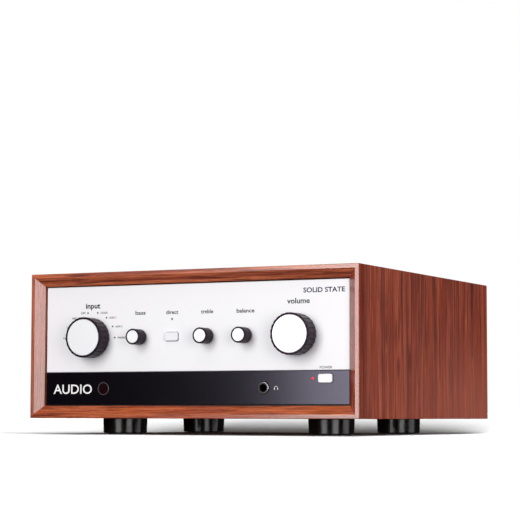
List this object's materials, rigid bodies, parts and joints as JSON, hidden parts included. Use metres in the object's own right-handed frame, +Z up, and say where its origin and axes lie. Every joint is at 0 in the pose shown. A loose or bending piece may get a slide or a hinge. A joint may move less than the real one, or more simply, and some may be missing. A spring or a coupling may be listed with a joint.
{
  "type": "integrated amplifier",
  "caption": "Stereo integrated amplifier in a mitred walnut sleeve, with a pale fascia over a black strip, fluted knobs and round feet.",
  "frame": {"origin": "on the floor, under the middle of the whole object's box, knobs and rear terminals included", "axes": "+X to the right seen from the front, +Y to the back, +Z up; the fascia faces -Y"},
  "size_m": [0.352, 0.3622, 0.1567],
  "materials": {
    "walnut": "satin lacquered reddish walnut, straight grain",
    "fascia_silver": "very fine matt silver-white",
    "fascia_black": "smooth satin black",
    "knob_body": "satin dark bronze black",
    "knob_face": "spun bright silver",
    "shaft_steel": "bright turned steel",
    "button_white": "satin silver-white",
    "indicator_red": "clear red lens",
    "sensor_lens": "dark red filter lens",
    "jack_plastic": "gloss black",
    "foot_plastic": "polished black",
    "foot_pad": "dull black rubber",
    "screw_steel": "zinc plated",
    "chassis_steel": "steel sheet with fine black powder paint",
    "rear_panel_paint": "fine textured black",
    "gold_plate": "bright gold plate",
    "terminal_red": "clear red moulding",
    "terminal_black": "clear black moulding",
    "socket_plastic": "moulded black",
    "rocker_plastic": "gloss black",
    "antenna_plastic": "soft-touch black",
    "control_plastic": "moulded black",
    "transformer_winding": "varnished tape over copper and iron",
    "circuit_board": "green solder mask",
    "capacitor_sleeve": "shrink sleeve",
    "heatsink_alloy": "black anodised"
  },
  "bodies": {
    "cabinet": {"chassis_base": "chassis_steel", "digital_sockets": "socket_plastic", "fascia_lower": "fascia_black", "fascia_upper": "fascia_silver", "foot_front_left": "foot_plastic", "foot_front_right": "foot_plastic", "foot_pads": "foot_pad", "foot_rear_left": "foot_plastic", "foot_rear_right": "foot_plastic", "foot_screws": "screw_steel", "front_board": "circuit_board", "front_subpanel": "chassis_steel", "headphone_jack": "jack_plastic", "heatsink": "heatsink_alloy", "iec_inlet": "socket_plastic", "indicator_leds": "indicator_red", "input_board": "circuit_board", "input_selector": "control_plastic", "ir_window": "sensor_lens", "main_board": "circuit_board", "output_transistors": "control_plastic", "panel_fasteners": "screw_steel", "rca_sockets": "gold_plate", "rear_panel": "rear_panel_paint", "reservoir_capacitors": "capacitor_sleeve", "sleeve_bottom": "walnut", "sleeve_left": "walnut", "sleeve_right": "walnut", "sleeve_top": "walnut", "speaker_posts": "gold_plate", "tact_switches": "control_plastic", "tone_potentiometers": "control_plastic", "top_cover": "chassis_steel", "toroidal_transformer": "transformer_winding", "transformer_clamp": "screw_steel", "volume_potentiometer": "control_plastic"},
    "input_control": {"input_knob": "knob_body", "input_knob_cap": "knob_face", "input_shaft": "shaft_steel"},
    "volume_control": {"volume_knob": "knob_body", "volume_knob_cap": "knob_face", "volume_shaft": "shaft_steel"},
    "bass_control": {"bass_knob": "knob_body", "bass_knob_cap": "knob_face", "bass_shaft": "shaft_steel"},
    "treble_control": {"treble_knob": "knob_body", "treble_knob_cap": "knob_face", "treble_shaft": "shaft_steel"},
    "balance_control": {"balance_knob": "knob_body", "balance_knob_cap": "knob_face", "balance_shaft": "shaft_steel"},
    "direct_button": {"direct_button": "button_white"},
    "power_button": {"power_button": "button_white"},
    "mains_rocker": {"mains_rocker": "rocker_plastic"},
    "antenna": {"antenna": "antenna_plastic"},
    "ground_nut": {"ground_nut": "shaft_steel"},
    "speaker_cap_right_positive": {"speaker_cap_right_positive": "terminal_red"},
    "speaker_cap_right_negative": {"speaker_cap_right_negative": "terminal_black"},
    "speaker_cap_left_positive": {"speaker_cap_left_positive": "terminal_red"},
    "speaker_cap_left_negative": {"speaker_cap_left_negative": "terminal_black"}
  },
  "joints": [
    {"name": "input_turn", "type": "hinge", "parent": "cabinet", "child": "input_control", "pos_m": [-0.1105, -0.16245, 0.0935], "axis": [0, 1, 0], "range_deg": [-180, 0]},
    {"name": "volume_turn", "type": "hinge", "parent": "cabinet", "child": "volume_control", "pos_m": [0.1105, -0.16245, 0.0935], "axis": [0, 1, 0], "range_deg": [-90, 210]},
    {"name": "bass_turn", "type": "hinge", "parent": "cabinet", "child": "bass_control", "pos_m": [-0.057, -0.16245, 0.0935], "axis": [0, 1, 0], "range_deg": [-150, 150]},
    {"name": "treble_turn", "type": "hinge", "parent": "cabinet", "child": "treble_control", "pos_m": [0.0157, -0.16245, 0.0935], "axis": [0, 1, 0], "range_deg": [-150, 150]},
    {"name": "balance_turn", "type": "hinge", "parent": "cabinet", "child": "balance_control", "pos_m": [0.0563, -0.16245, 0.0935], "axis": [0, 1, 0], "range_deg": [-150, 150]},
    {"name": "direct_press", "type": "slide", "parent": "cabinet", "child": "direct_button", "axis": [0, 1, 0], "range_m": [0, 0.0015], "stiffness_N_per_m": 800},
    {"name": "power_press", "type": "slide", "parent": "cabinet", "child": "power_button", "axis": [0, 1, 0], "range_m": [0, 0.0015], "stiffness_N_per_m": 800},
    {"name": "rocker_tip", "type": "hinge", "parent": "cabinet", "child": "mains_rocker", "pos_m": [-0.084, 0.15405, 0.0517], "axis": [0, 0, 1], "range_deg": [-16, 0]},
    {"name": "antenna_swivel", "type": "hinge", "parent": "cabinet", "child": "antenna", "pos_m": [0.03, 0.16305, 0.1217], "axis": [0, 1, 0], "range_deg": [-90, 180]},
    {"name": "ground_nut_turn", "type": "hinge", "parent": "cabinet", "child": "ground_nut", "pos_m": [0.15, 0.16205, 0.1097], "axis": [0, 1, 0], "range_deg": [0, 720]},
    {"name": "cap_right_positive_turn", "type": "hinge", "parent": "cabinet", "child": "speaker_cap_right_positive", "pos_m": [-0.058, 0.17105, 0.1037], "axis": [0, 1, 0], "range_deg": [0, 720]},
    {"name": "cap_right_negative_turn", "type": "hinge", "parent": "cabinet", "child": "speaker_cap_right_negative", "pos_m": [-0.07705, 0.17105, 0.1037], "axis": [0, 1, 0], "range_deg": [0, 720]},
    {"name": "cap_left_positive_turn", "type": "hinge", "parent": "cabinet", "child": "speaker_cap_left_positive", "pos_m": [-0.11, 0.17105, 0.1037], "axis": [0, 1, 0], "range_deg": [0, 720]},
    {"name": "cap_left_negative_turn", "type": "hinge", "parent": "cabinet", "child": "speaker_cap_left_negative", "pos_m": [-0.12905, 0.17105, 0.1037], "axis": [0, 1, 0], "range_deg": [0, 720]}
  ]
}
